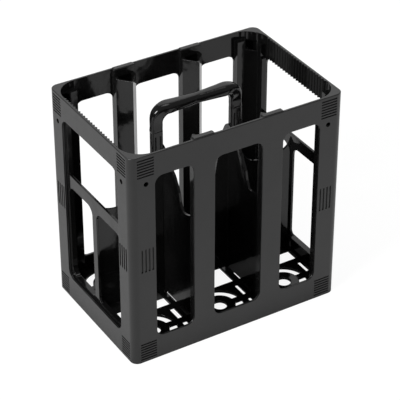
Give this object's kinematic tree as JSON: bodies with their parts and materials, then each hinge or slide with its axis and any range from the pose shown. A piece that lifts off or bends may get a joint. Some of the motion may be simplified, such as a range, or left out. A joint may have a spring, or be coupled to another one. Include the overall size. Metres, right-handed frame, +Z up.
{
  "type": "bottle crate",
  "caption": "Open black plastic bottle crate with windowed sides, bottle compartments divided by low walls, a central arched carrying handle and an open ring grid floor.",
  "frame": {"origin": "centre of the crate's footprint, on the surface that it stands on", "axes": "+Z up, +X along the long sides, +Y towards a long side"},
  "size_m": [0.3, 0.2, 0.3012],
  "materials": {
    "crate": "black polyethylene, fine satin texture outside and smoother inside"
  },
  "bodies": {
    "root": {"crate": "crate"}
  },
  "joints": []
}
